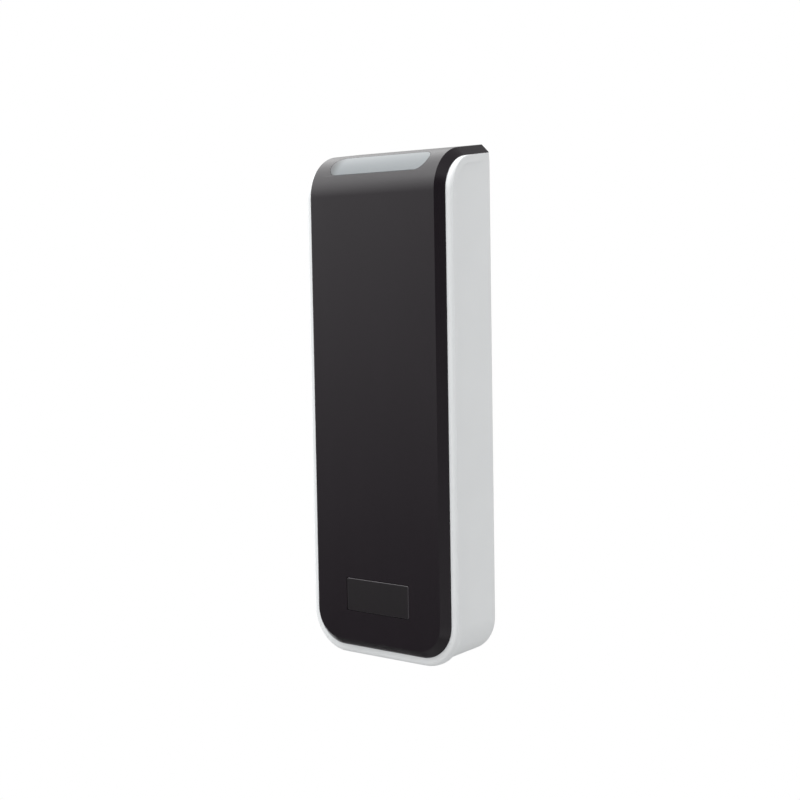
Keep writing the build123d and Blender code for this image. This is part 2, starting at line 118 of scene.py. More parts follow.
horizon = glow_towards((0, 0, 1), -0.30, 0.10, 0.10, 0.85)
zenith = glow_towards((0.35, 0.25, 0.9), 0.45, 0.95, 1.0, 0.55)
dim_room = glow_towards((0.74, -0.67, 0.16), 0.86, 0.97, 1.0, 0.03)
table_sheen = glow_towards((0.70, -0.60, -0.40), 0.90, 1.0, 0.0, 0.60)
soft_box = glow_towards((-0.72, -0.10, 0.69), 0.52, 0.95, 0.0, 2.35)
right_wall = glow_towards((0.95, 0.25, 0.10), 0.58, 0.95, 0.0, 1.15)
below = glow_towards((0.10, -0.30, -0.95), 0.60, 1.0, 0.0, 0.35)
strength = combine("MULTIPLY", combine("MULTIPLY", horizon, zenith), dim_room)
for patch in (table_sheen, soft_box, right_wall, below):
    strength = combine("ADD", strength, patch)
lit = add_node(sky, "ShaderNodeBackground", {"Strength": strength})
seen = add_node(sky, "ShaderNodeBackground", {"Color": (1, 1, 1, 1), "Strength": 1.0})
ray = add_node(sky, "ShaderNodeLightPath").outputs["Is Camera Ray"]
sky_mix = add_node(sky, "ShaderNodeMixShader", {"Fac": ray, 1: lit.outputs[0], 2: seen.outputs[0]})
add_node(sky, "ShaderNodeOutputWorld", {"Surface": sky_mix.outputs[0]})

panel_place = Vector((-0.10, -0.45, 0.80))
panel_light = bpy.data.lights.new("overhead_panel", "AREA")
panel_light.size = 0.8
panel_light.energy = 6.0
panel = bpy.data.objects.new("overhead_panel", panel_light)
panel.location = panel_place
panel.rotation_euler = (Vector((0, -0.01, 0)) - panel_place).to_track_quat("-Z", "Y").to_euler()
bpy.context.scene.collection.objects.link(panel)

# Floor. A plain pale sheet well below the reader; it shows pure white and throws back a softer,
# greyer light, and the cover mirrors the studio instead of it.
floor_reach = 4.0
floor_z = -0.30
floor_mesh = bpy.data.meshes.new("floor")
floor_corners = [(-1, -1), (1, -1), (1, 1), (-1, 1)]
floor_points = [(x * floor_reach, y * floor_reach, floor_z) for x, y in floor_corners]
floor_mesh.from_pydata(floor_points, [], [(0, 1, 2, 3)])
floor = bpy.data.objects.new("floor", floor_mesh)
bpy.context.scene.collection.objects.link(floor)
floor_paint = bpy.data.materials.new("pale_floor")
floor_paint.use_nodes = True
paint = floor_paint.node_tree
paint_shader = paint.nodes["Principled BSDF"]
paint_shader.inputs["Base Color"].default_value = (0.5, 0.5, 0.5, 1)
paint_shader.inputs["Roughness"].default_value = 0.9
glow = add_node(paint, "ShaderNodeEmission")
ray = add_node(paint, "ShaderNodeLightPath").outputs["Is Camera Ray"]
paint_mix = add_node(paint, "ShaderNodeMixShader", {
    "Fac": ray, 1: paint_shader.outputs[0], 2: glow.outputs[0],
})
paint.links.new(paint_mix.outputs[0], paint.nodes["Material Output"].inputs["Surface"])
floor_mesh.materials.append(floor_paint)
floor.visible_glossy = False


# Wall plate. A glass-filled nylon moulding, screwed flat to a door frame through its two slots.
# The reader hangs on the beaded hooks at its top and is locked to the tab at its bottom.
def new_group(name, inputs, outputs):
    """Empty shader group with float or vector sockets, and its two end nodes."""
    group = bpy.data.node_groups.new(name, "ShaderNodeTree")
    for socket in inputs:
        kind = "NodeSocketVector" if socket == "Vector" else "NodeSocketFloat"
        group.interface.new_socket(socket, in_out="INPUT", socket_type=kind)
    for socket in outputs:
        group.interface.new_socket(socket, in_out="OUTPUT", socket_type="NodeSocketFloat")
    return group, group.nodes.new("NodeGroupInput").outputs, group.nodes.new("NodeGroupOutput").inputs


def grain_group():
    """Spark-eroded mould grain, and slow clouds of tone where the melt has flowed."""
    group, given, result = new_group(
        "mould_grain", ("Vector", "Grain Scale", "Cloud Scale"), ("Height", "Cloud")
    )
    fine = add_node(group, "ShaderNodeTexNoise", {
        "Vector": given["Vector"], "Scale": given["Grain Scale"], "Detail": 3,
    })
    cloud = add_node(group, "ShaderNodeTexNoise", {
        "Vector": given["Vector"], "Scale": given["Cloud Scale"], "Detail": 2,
    })
    group.links.new(fine.outputs["Fac"], result["Height"])
    group.links.new(cloud.outputs["Fac"], result["Cloud"])
    return group


def rub_group():
    """Where handling has polished the outer edges: the corners, broken up by a patchy noise."""
    group, given, result = new_group("rubbed_edges", ("Vector", "Pointiness", "Patch Scale"), ("Mask",))
    corner = add_node(group, "ShaderNodeMapRange", {
        "Value": given["Pointiness"], "From Min": 0.52, "From Max": 0.62,
    })
    patchy = add_node(group, "ShaderNodeTexNoise", {
        "Vector": given["Vector"], "Scale": given["Patch Scale"], "Detail": 4,
    })
    mask = add_node(group, "ShaderNodeMath", {
        0: corner.outputs["Result"], 1: patchy.outputs["Fac"],
    }, operation="MULTIPLY")
    group.links.new(mask.outputs[0], result["Mask"])
    return group


mould_grain = grain_group()
rubbed_edges = rub_group()


def finish_material(
    name, dark, light, roughness, grain=2500, depth=0.00002, cloud=60, metallic=0.0, rub=0.25
):
    """Two close tones in clouds, fine grain in gloss and relief, and corners rubbed smoother."""
    material = bpy.data.materials.new(name)
    material.use_nodes = True
    tree = material.node_tree
    shader = tree.nodes["Principled BSDF"]
    where = add_node(tree, "ShaderNodeTexCoord").outputs["Object"]
    grains = add_node(tree, "ShaderNodeGroup", node_tree=mould_grain)
    tree.links.new(where, grains.inputs["Vector"])
    grains.inputs["Grain Scale"].default_value = grain
    grains.inputs["Cloud Scale"].default_value = cloud
    pointiness = add_node(tree, "ShaderNodeNewGeometry").outputs["Pointiness"]
    rubbed = add_node(tree, "ShaderNodeGroup", node_tree=rubbed_edges)
    tree.links.new(where, rubbed.inputs["Vector"])
    tree.links.new(pointiness, rubbed.inputs["Pointiness"])
    rubbed.inputs["Patch Scale"].default_value = cloud * 6
    tone = add_node(tree, "ShaderNodeMix", data_type="RGBA")
    tree.links.new(grains.outputs["Cloud"], tone.inputs["Factor"])
    tone.inputs["A"].default_value = (*dark, 1)
    tone.inputs["B"].default_value = (*light, 1)
    gloss = add_node(tree, "ShaderNodeMapRange", {
        "Value": grains.outputs["Height"], "To Min": roughness[0], "To Max": roughness[1],
    })
    polish = add_node(tree, "ShaderNodeMath", {
        0: rubbed.outputs["Mask"], 1: -rub, 2: gloss.outputs["Result"],
    }, operation="MULTIPLY_ADD", use_clamp=True)
    bump = add_node(tree, "ShaderNodeBump", {
        "Height": grains.outputs["Height"], "Distance": depth, "Strength": 0.5,
    })
    tree.links.new(tone.outputs["Result"], shader.inputs["Base Color"])
    tree.links.new(polish.outputs[0], shader.inputs["Roughness"])
    tree.links.new(bump.outputs["Normal"], shader.inputs["Normal"])
    shader.inputs["Metallic"].default_value = metallic
    return material


def moulded_piece(node, material, edge=0.0001, round_above=32):
    """The CAD solid as one joined mesh with its sharp edges rounded, which takes its place."""
    mesh = frame["nodes"][node].data.copy()
    mesh.materials.clear()
    work = bmesh.new()
    work.from_mesh(mesh)
    bmesh.ops.remove_doubles(work, verts=work.verts, dist=1e-6)
    bmesh.ops.dissolve_limit(
        work, angle_limit=radians(0.4), verts=work.verts, edges=work.edges, delimit={"NORMAL"}
    )
    for face in work.faces:
        face.smooth = True
    work.to_mesh(mesh)
    work.free()
    mesh.materials.append(material)
    piece = bpy.data.objects.new(node + "_finished", mesh)
    bpy.context.scene.collection.objects.link(piece)
    rounding = piece.modifiers.new("rounding", "BEVEL")
    rounding.width = edge
    rounding.segments = 2
    rounding.limit_method = "ANGLE"
    rounding.angle_limit = radians(round_above)
    rounding.harden_normals = True
    shading = piece.modifiers.new("shading", "WEIGHTED_NORMAL")
    shading.keep_sharp = True
    evaluated = piece.evaluated_get(bpy.context.evaluated_depsgraph_get())
    finished = bpy.data.meshes.new_from_object(evaluated)
    piece.modifiers.clear()
    piece.data = finished
    bodies = frame["record"]["behaviour"]["bodies"]
    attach(piece, [body for body, held in bodies.items() if node in held][0])
    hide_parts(node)
    return piece


glass_filled_nylon = finish_material(
    "glass_filled_nylon", (0.060, 0.060, 0.063), (0.085, 0.085, 0.089), (0.46, 0.64),
    grain=1400, depth=0.00006,
)
moulded_piece("mounting_plate", glass_filled_nylon, 0.00022)

# Threaded insert. Turned brass, pressed warm into the plate's bottom tab; it takes the security
# screw. Only its ends show.
turned_brass = finish_material(
    "turned_brass", (0.62, 0.46, 0.19), (0.74, 0.57, 0.27), (0.20, 0.38), grain=5000, metallic=1.0
)
moulded_piece("threaded_insert", turned_brass, 0.00012)

# Cable grommet. Soft moulded rubber, snapped into the plate's round hole, where the cable comes
# out of the wall.
grommet_rubber = finish_material(
    "grommet_rubber", (0.010, 0.010, 0.011), (0.019, 0.019, 0.020), (0.62, 0.82), grain=1800, depth=0.00005
)
moulded_piece("cable_grommet", grommet_rubber, 0.0003)

# Housing. The white surround is one injection moulding in satin ABS with a flared lip round the
# cover. It hangs on the wall plate and carries everything else.
satin_abs = finish_material(
    "satin_abs", (0.730, 0.745, 0.752), (0.765, 0.780, 0.787), (0.42, 0.54), grain=3000, rub=0.15
)
moulded_piece("housing", satin_abs, 0.00012)


# Cover seal. A die-cut ring of closed-cell foam with adhesive on both faces, in the housing's
# groove, which keeps rain out from under the front cover.
def foam_group():
    """Cells of a cut foam: how deep each one is."""
    group, given, result = new_group("foam_cells", ("Vector", "Cell Scale"), ("Depth",))
    cells = add_node(group, "ShaderNodeTexVoronoi", {
        "Vector": given["Vector"], "Scale": given["Cell Scale"], "Randomness": 0.9,
    })
    group.links.new(cells.outputs["Distance"], result["Depth"])
    return group


foam_cells = foam_group()
seal_foam = finish_material(
    "seal_foam", (0.020, 0.020, 0.022), (0.032, 0.032, 0.034), (0.80, 0.95), rub=0.0
)
cells = add_node(seal_foam.node_tree, "ShaderNodeGroup", node_tree=foam_cells)
cells.inputs["Cell Scale"].default_value = 2600
foam_place = add_node(seal_foam.node_tree, "ShaderNodeTexCoord").outputs["Object"]
seal_foam.node_tree.links.new(foam_place, cells.inputs["Vector"])
foam_bump = seal_foam.node_tree.nodes["Bump"]
foam_bump.inputs["Distance"].default_value = 0.0001
seal_foam.node_tree.links.new(cells.outputs["Depth"], foam_bump.inputs["Height"])
moulded_piece("cover_seal", seal_foam)


# Front cover. One smoked polycarbonate moulding, pressed into the housing and bonded over the
# seal. It stands proud of the white lip, has a broad chamfer, and rolls over the top to the wall.
def wipe_group():
    """Faint upright streaks that cleaning and hands leave on a satin panel."""
    group, given, result = new_group("wiped_streaks", ("Vector", "Streak Scale"), ("Haze",))
    split = add_node(group, "ShaderNodeSeparateXYZ", {0: given["Vector"]})
    squeezed = add_node(group, "ShaderNodeMath", {0: split.outputs["Z"], 1: 0.12}, operation="MULTIPLY")
    place = add_node(group, "ShaderNodeCombineXYZ", {
        "X": split.outputs["X"], "Y": split.outputs["Y"], "Z": squeezed.outputs[0],
    })
    streaks = add_node(group, "ShaderNodeTexNoise", {
        "Vector": place.outputs[0], "Scale": given["Streak Scale"], "Detail": 5, "Roughness": 0.65,
    })
    group.links.new(streaks.outputs["Fac"], result["Haze"])
    return group


def add_streaks(material, scale, amount):
    """Lays the streaks over a finish: its roughness gains up to that amount."""
    tree = material.node_tree
    shader = tree.nodes["Principled BSDF"]
    before = shader.inputs["Roughness"].links[0].from_socket
    streaks = add_node(tree, "ShaderNodeGroup", node_tree=wiped_streaks)
    tree.links.new(add_node(tree, "ShaderNodeTexCoord").outputs["Object"], streaks.inputs["Vector"])
    streaks.inputs["Streak Scale"].default_value = scale
    hazed = add_node(tree, "ShaderNodeMath", {
        0: streaks.outputs["Haze"], 1: amount, 2: before,
    }, operation="MULTIPLY_ADD")
    tree.links.new(hazed.outputs[0], shader.inputs["Roughness"])


wiped_streaks = wipe_group()
smoked_polycarbonate = finish_material(
    "smoked_polycarbonate", (0.0072, 0.0042, 0.0070), (0.0084, 0.0052, 0.0082), (0.17, 0.24),
    grain=4000, depth=0.00001, rub=0.08,
)
add_streaks(smoked_polycarbonate, 160, 0.07)
moulded_piece("front_cover", smoked_polycarbonate, 0.00015)

# Light window. A translucent acrylic diffuser, welded flush into the curve of the cover. Its last few
# millimetres at the left end are painted darker, as painted shade.
acrylic_diffuser = finish_material(
    "acrylic_diffuser", (0.150, 0.168, 0.178), (0.172, 0.190, 0.200), (0.28, 0.36),
    grain=3000, depth=0.000005, rub=0.0,
)
diffuser = acrylic_diffuser.node_tree
diffuser_shader = diffuser.nodes["Principled BSDF"]
milk = diffuser_shader.inputs["Base Color"].links[0].from_socket
window_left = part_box("light_window")[0][0]
painted_shade_length = 0.0045
window_x = add_node(diffuser, "ShaderNodeSeparateXYZ", {
    0: add_node(diffuser, "ShaderNodeTexCoord").outputs["Object"],
})
# Painted shade: over the last few millimetres at the left end, the colour runs from a dark grey up to the
# window's own tone.
full_tone = add_node(diffuser, "ShaderNodeMapRange", {
    "Value": window_x.outputs["X"], "From Min": window_left, "From Max": window_left + painted_shade_length,
}, interpolation_type="SMOOTHSTEP")
painted_shade_mix = add_node(diffuser, "ShaderNodeMix", {
    "Factor": full_tone.outputs["Result"],
}, data_type="RGBA")
painted_shade_mix.inputs["A"].default_value = (0.035, 0.038, 0.042, 1)
diffuser.links.new(milk, painted_shade_mix.inputs["B"])
diffuser.links.new(painted_shade_mix.outputs["Result"], diffuser_shader.inputs["Base Color"])
moulded_piece("light_window", acrylic_diffuser, 0.00008)

# Badge. A thin plain plate with a hairline finish, held in its recess by a strip of transfer tape. Its
# bevelled edges carry a painted highlight.
badge_lacquer = finish_material(
    "badge_lacquer", (0.0085, 0.0065, 0.0082), (0.0105, 0.0085, 0.0102), (0.24, 0.32),
    grain=5000, depth=0.000008, rub=0.0,
)
add_streaks(badge_lacquer, 900, 0.05)
lacquer = badge_lacquer.node_tree
lacquer_shader = lacquer.nodes["Principled BSDF"]
# Painted highlight: faces that turn away from the front, the bevelled edges, get a lighter colour.
facing = add_node(lacquer, "ShaderNodeSeparateXYZ", {
    0: add_node(lacquer, "ShaderNodeTexCoord").outputs["Normal"],
})
edge_highlight_mask = add_node(lacquer, "ShaderNodeMapRange", {
    "Value": facing.outputs["Y"], "From Min": -0.97, "From Max": -0.75,
})
edge_highlight_mix = add_node(lacquer, "ShaderNodeMix", {"Factor": edge_highlight_mask.outputs["Result"]}, data_type="RGBA")
lacquer.links.new(lacquer_shader.inputs["Base Color"].links[0].from_socket, edge_highlight_mix.inputs["A"])
edge_highlight_mix.inputs["B"].default_value = (0.11, 0.10, 0.11, 1)
lacquer.links.new(edge_highlight_mix.outputs["Result"], lacquer_shader.inputs["Base Color"])
moulded_piece("badge", badge_lacquer, 0.00010)
transfer_tape = finish_material(
    "transfer_tape", (0.74, 0.72, 0.66), (0.80, 0.78, 0.72), (0.5, 0.7), grain=1500, rub=0.0
)
moulded_piece("badge_adhesive", transfer_tape, 0.00003)

# Light guide. A clear acrylic bar, clipped behind the window by two legs, which spreads the light
# of five LEDs along it.
milky_acrylic = finish_material(
    "milky_acrylic", (0.76, 0.79, 0.81), (0.84, 0.87, 0.89), (0.10, 0.20), depth=0.000004, rub=0.0
)
moulded_piece("light_guide", milky_acrylic, 0.0002)


# LED board. A short white circuit board at the guide's back, with five side-by-side LEDs, each on
# two tinned pads.
def trace_group():
    """Copper tracks under solder mask: upright lines that jog sideways together, many of them cut."""
    group, given, result = new_group("board_tracks", ("Vector", "Track Pitch"), ("Track",))

    def math(operation, first, second=0.0, third=0.0):
        values = {0: first, 1: second, 2: third}
        return add_node(group, "ShaderNodeMath", values, operation=operation).outputs[0]

    split = add_node(group, "ShaderNodeSeparateXYZ", {0: given["Vector"]})
    across = math("DIVIDE", split.outputs["X"], given["Track Pitch"])
    along = math("DIVIDE", split.outputs["Z"], given["Track Pitch"])
    jog = math("MINIMUM", math("MAXIMUM", math("PINGPONG", along, 17.0), 5.0), 11.0)
    lane = math("ADD", across, jog)
    stretch = add_node(group, "ShaderNodeCombineXYZ", {
        "X": math("FLOOR", lane), "Y": math("FLOOR", math("DIVIDE", along, 7.5)),
    })
    chance = add_node(group, "ShaderNodeTexWhiteNoise", {
        "Vector": stretch.outputs[0],
    }, noise_dimensions="2D")
    kept = math("GREATER_THAN", chance.outputs["Value"], 0.55)
    off_middle = math("ABSOLUTE", math("SUBTRACT", math("FRACT", lane), 0.5))
    line = add_node(group, "ShaderNodeMapRange", {
        "Value": off_middle, "From Min": 0.14, "From Max": 0.24, "To Min": 1.0, "To Max": 0.0,
    })
    group.links.new(math("MULTIPLY", line.outputs["Result"], kept), result["Track"])
    return group


board_tracks = trace_group()


def mask_material(name, dark, light, track):
    """Glossy solder mask, paler and a little raised where the tracks run under it."""
    material = finish_material(name, dark, light, (0.20, 0.32), grain=1200, rub=0.0)
    tree = material.node_tree
    shader = tree.nodes["Principled BSDF"]
    ground = shader.inputs["Base Color"].links[0].from_socket
    tracks = add_node(tree, "ShaderNodeGroup", node_tree=board_tracks)
    tree.links.new(add_node(tree, "ShaderNodeTexCoord").outputs["Object"], tracks.inputs["Vector"])
    tracks.inputs["Track Pitch"].default_value = 0.0009
    printed = add_node(tree, "ShaderNodeMix", {"Factor": tracks.outputs["Track"]}, data_type="RGBA")
    tree.links.new(ground, printed.inputs["A"])
    printed.inputs["B"].default_value = (*track, 1)
    tree.links.new(printed.outputs["Result"], shader.inputs["Base Color"])
    tree.nodes["Bump"].inputs["Distance"].default_value = 0.00004
    tree.links.new(tracks.outputs["Track"], tree.nodes["Bump"].inputs["Height"])
    return material


def row_tree():
    """Geometry tree: a straight row of equal blocks, for pads, pins and end caps."""
    tree = bpy.data.node_groups.new("row_of_blocks", "GeometryNodeTree")
    tree.interface.new_socket("Count", in_out="INPUT", socket_type="NodeSocketInt")
    for socket in ("Start", "Step", "Size"):
        tree.interface.new_socket(socket, in_out="INPUT", socket_type="NodeSocketVector")
    tree.interface.new_socket("Finish", in_out="INPUT", socket_type="NodeSocketMaterial")
    tree.interface.new_socket("Geometry", in_out="OUTPUT", socket_type="NodeSocketGeometry")
    given = tree.nodes.new("NodeGroupInput").outputs
    line = add_node(tree, "GeometryNodeMeshLine", {
        "Count": given["Count"], "Start Location": given["Start"], "Offset": given["Step"],
    })
    cube = add_node(tree, "GeometryNodeMeshCube", {"Size": given["Size"]})
    spread = add_node(tree, "GeometryNodeInstanceOnPoints", {
        "Points": line.outputs[0], "Instance": cube.outputs["Mesh"],
    })
    real = add_node(tree, "GeometryNodeRealizeInstances", {0: spread.outputs[0]})
    painted = add_node(tree, "GeometryNodeSetMaterial", {0: real.outputs[0], "Material": given["Finish"]})
    add_node(tree, "NodeGroupOutput", {0: painted.outputs[0]})
    return tree


def grow(name, jobs, place=Matrix.Identity(4)):
    """Runs (tree, values) jobs and joins what they make, put in its place, into one plain mesh."""
    work = bmesh.new()
    finish = None
    for tree, values in jobs:
        seed = bpy.data.objects.new(name + "_seed", bpy.data.meshes.new(name + "_seed"))
        bpy.context.scene.collection.objects.link(seed)
        growth = seed.modifiers.new("growth", "NODES")
        growth.node_group = tree
        for socket in tree.interface.items_tree:
            if socket.in_out == "INPUT":
                growth[socket.identifier] = values[socket.name]
        finish = values["Finish"]
        grown = bpy.data.meshes.new_from_object(seed.evaluated_get(bpy.context.evaluated_depsgraph_get()))
        work.from_mesh(grown)
        bpy.data.objects.remove(seed)
    mesh = bpy.data.meshes.new(name)
    bmesh.ops.transform(work, matrix=place, verts=work.verts)
    work.to_mesh(mesh)
    work.free()
    mesh.materials.clear()
    mesh.materials.append(finish)
    piece = bpy.data.objects.new(name, mesh)
    bpy.context.scene.collection.objects.link(piece)
    return piece


row_of_blocks = row_tree()
white_mask = mask_material("white_solder_mask", (0.72, 0.73, 0.70), (0.80, 0.81, 0.78), (0.62, 0.60, 0.52))
moulded_piece("led_board", white_mask, 0.00005)
led_resin = finish_material(
    "phosphor_resin", (0.80, 0.74, 0.42), (0.88, 0.82, 0.52), (0.15, 0.28), depth=0.000004, rub=0.0
)
moulded_piece("leds", led_resin, 0.00008)
solder_tin = finish_material(
    "solder_tin", (0.60, 0.60, 0.61), (0.74, 0.74, 0.75), (0.16, 0.34), grain=6000, metallic=1.0
)
light_tilt = radians(48)
led_low, led_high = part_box("leds")
led_front = Vector((0, -cos(light_tilt), sin(light_tilt)))
led_rise = Vector((0, sin(light_tilt), cos(light_tilt)))
led_plane = Matrix((Vector((1, 0, 0)), led_rise, led_front)).transposed().to_4x4()
led_middle = (Vector(led_low) + Vector(led_high)) / 2
led_pitch = 0.0065
pad_offset = 0.00175
pad_depth = 0.00062
led_rows = []
for offset in (-pad_offset, pad_offset):
    led_rows.append((row_of_blocks, {
        "Count": 5, "Start": (-2 * led_pitch + offset, 0, -pad_depth), "Step": (led_pitch, 0, 0),
        "Size": (0.0006, 0.0022, 0.00012), "Finish": solder_tin,
    }))
led_pads = grow("led_pads", led_rows, Matrix.Translation(led_middle) @ led_plane)
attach(led_pads, "reader")

# Antenna board. A thin white board with the printed copper coil that powers and reads the card;
# a ferrite sheet on its back keeps the field off the main board.
moulded_piece("antenna_board", white_mask, 0.00005)
coil_copper = finish_material(
    "coil_copper", (0.68, 0.31, 0.15), (0.82, 0.42, 0.24), (0.18, 0.36), grain=4000, metallic=1.0, rub=0.0
)
moulded_piece("antenna_coil", coil_copper, 0.00003)
ferrite = finish_material(
    "ferrite_sheet", (0.028, 0.028, 0.031), (0.046, 0.046, 0.050), (0.45, 0.7), grain=900
)
moulded_piece("ferrite_sheet", ferrite, 0.00004)

# Main board. A green board screwed to stands of the rear cover, with plated vias between its
# tracks; a three-way header and four nylon spacers join it to the antenna board.
green_mask = mask_material(
    "green_solder_mask", (0.008, 0.085, 0.032), (0.012, 0.115, 0.045), (0.020, 0.19, 0.070)
)
moulded_piece("main_board", green_mask, 0.00005)
moulded_header = finish_material(
    "header_moulding", (0.014, 0.014, 0.015), (0.022, 0.022, 0.023), (0.4, 0.55)
)
moulded_piece("board_header", moulded_header, 0.00008)
nylon = finish_material("natural_nylon", (0.72, 0.72, 0.67), (0.80, 0.80, 0.76), (0.35, 0.5), rub=0.0)
moulded_piece("board_spacers", nylon, 0.00015)
header_low, header_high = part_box("board_header")
board_low, board_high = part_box("main_board")
pin_pitch = 0.00254
pin_middle = (Vector(header_low) + Vector(header_high)) / 2
header_pins = grow("header_pins", [(row_of_blocks, {
    "Count": 3, "Start": (-pin_pitch, pin_middle.y, pin_middle.z), "Step": (pin_pitch, 0, 0),
    "Size": (0.00064, 0.0058, 0.00064), "Finish": solder_tin,
})])
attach(header_pins, "reader")


def via_tree():
    """Geometry tree: a grid of plated vias, thinned out at random with a fixed seed."""
    tree = bpy.data.node_groups.new("via_field", "GeometryNodeTree")
    for socket in ("Width", "Height", "Via Radius", "Rim Height", "Keep"):
        tree.interface.new_socket(socket, in_out="INPUT", socket_type="NodeSocketFloat")
    for socket in ("Columns", "Rows", "Seed"):
        tree.interface.new_socket(socket, in_out="INPUT", socket_type="NodeSocketInt")
    tree.interface.new_socket("Finish", in_out="INPUT", socket_type="NodeSocketMaterial")
    tree.interface.new_socket("Geometry", in_out="OUTPUT", socket_type="NodeSocketGeometry")
    given = tree.nodes.new("NodeGroupInput").outputs
    field = add_node(tree, "GeometryNodeMeshGrid", {
        "Size X": given["Width"], "Size Y": given["Height"],
        "Vertices X": given["Columns"], "Vertices Y": given["Rows"],
    })
    chance = add_node(tree, "FunctionNodeRandomValue", {
        "Probability": given["Keep"], "Seed": given["Seed"],
    }, data_type="BOOLEAN")
    rim = add_node(tree, "GeometryNodeMeshCylinder", {
        "Vertices": 10, "Radius": given["Via Radius"], "Depth": given["Rim Height"],
    })
    spread = add_node(tree, "GeometryNodeInstanceOnPoints", {
        "Points": field.outputs["Mesh"], "Selection": chance.outputs[3], "Instance": rim.outputs["Mesh"],
    })
    real = add_node(tree, "GeometryNodeRealizeInstances", {0: spread.outputs[0]})
    painted = add_node(tree, "GeometryNodeSetMaterial", {0: real.outputs[0], "Material": given["Finish"]})
    add_node(tree, "NodeGroupOutput", {0: painted.outputs[0]})
    return tree


via_margin = 0.0025
via_count = {"Columns": 14, "Rows": 34, "Seed": 7}
via_size = {"Via Radius": 0.00028, "Rim Height": board_high[1] - board_low[1] + 0.00006, "Keep": 0.22}
front_plane = Matrix(((1, 0, 0), (0, 0, 1), (0, -1, 0))).transposed().to_4x4()
board_middle = (Vector(board_low) + Vector(board_high)) / 2
vias = grow("board_vias", [(via_tree(), {
    "Width": board_high[0] - board_low[0] - 2 * via_margin,
    "Height": board_high[2] - board_low[2] - 2 * via_margin,
    "Finish": solder_tin, **via_count, **via_size,
})], Matrix.Translation(board_middle) @ front_plane)
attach(vias, "reader")


# Chips. Black epoxy packages on the main board's front: a processor with gull-wing leads on all
# four sides, a leadless radio chip, and a regulator with three legs and a heat tab.
def lead_tree():
    """Geometry tree: bent leads in four rows round a square package that lies in the XY plane."""
    tree = bpy.data.node_groups.new("gull_wing_leads", "GeometryNodeTree")
    for socket in ("Pitch", "Body Half", "Lead Width", "Lead Thickness", "Shoulder Height", "Reach"):
        tree.interface.new_socket(socket, in_out="INPUT", socket_type="NodeSocketFloat")
    tree.interface.new_socket("Leads", in_out="INPUT", socket_type="NodeSocketInt")
    tree.interface.new_socket("Finish", in_out="INPUT", socket_type="NodeSocketMaterial")
    tree.interface.new_socket("Geometry", in_out="OUTPUT", socket_type="NodeSocketGeometry")
    given = tree.nodes.new("NodeGroupInput").outputs

    def math(operation, first, second):
        return add_node(tree, "ShaderNodeMath", {0: first, 1: second}, operation=operation).outputs[0]

    def bar(length, tall, forward, up):
        """One straight stretch of the lead, its middle that far forward and up."""
        size = add_node(tree, "ShaderNodeCombineXYZ", {"X": given["Lead Width"], "Y": length, "Z": tall})
        move = add_node(tree, "ShaderNodeCombineXYZ", {"X": 0.0, "Y": forward, "Z": up})
        cube = add_node(tree, "GeometryNodeMeshCube", {"Size": size.outputs[0]})
        placed = add_node(tree, "GeometryNodeTransform", {
            0: cube.outputs["Mesh"], "Translation": move.outputs[0],
        })
        return placed.outputs[0]

    half_reach = math("MULTIPLY", given["Reach"], 0.5)
    quarter = math("MULTIPLY", given["Reach"], 0.25)
    half_tall = math("MULTIPLY", given["Shoulder Height"], 0.5)
    half_sheet = math("MULTIPLY", given["Lead Thickness"], 0.5)
    joined = add_node(tree, "GeometryNodeJoinGeometry")
    shoulder = bar(half_reach, given["Lead Thickness"], quarter, given["Shoulder Height"])
    leg_tall = math("ADD", given["Shoulder Height"], given["Lead Thickness"])
    leg = bar(given["Lead Thickness"], leg_tall, half_reach, half_tall)
    foot_middle = math("MULTIPLY", given["Reach"], 0.75)
    foot = bar(half_reach, given["Lead Thickness"], foot_middle, half_sheet)
    for stretch in (shoulder, leg, foot):
        tree.links.new(stretch, joined.inputs[0])
    gaps = math("SUBTRACT", given["Leads"], 1)
    first = math("MULTIPLY", math("MULTIPLY", gaps, given["Pitch"]), -0.5)
    start = add_node(tree, "ShaderNodeCombineXYZ", {"X": first, "Y": given["Body Half"], "Z": 0.0})
    step = add_node(tree, "ShaderNodeCombineXYZ", {"X": given["Pitch"], "Y": 0.0, "Z": 0.0})
    line = add_node(tree, "GeometryNodeMeshLine", {
        "Count": given["Leads"], "Start Location": start.outputs[0], "Offset": step.outputs[0],
    })
    spread = add_node(tree, "GeometryNodeInstanceOnPoints", {
        "Points": line.outputs[0], "Instance": joined.outputs[0],
    })
    four_sides = add_node(tree, "GeometryNodeJoinGeometry")
    for quarter_turn in range(4):
        turned = add_node(tree, "GeometryNodeTransform", {
            0: spread.outputs[0], "Rotation": (0, 0, radians(90 * quarter_turn)),
        })
        tree.links.new(turned.outputs[0], four_sides.inputs[0])
    real = add_node(tree, "GeometryNodeRealizeInstances", {0: four_sides.outputs[0]})
    painted = add_node(tree, "GeometryNodeSetMaterial", {0: real.outputs[0], "Material": given["Finish"]})
    add_node(tree, "NodeGroupOutput", {0: painted.outputs[0]})
    return tree


def on_board(node):
    """Where a part's middle meets the front of the main board."""
    low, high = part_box(node)
    return Vector(((low[0] + high[0]) / 2, board_low[1], (low[2] + high[2]) / 2))


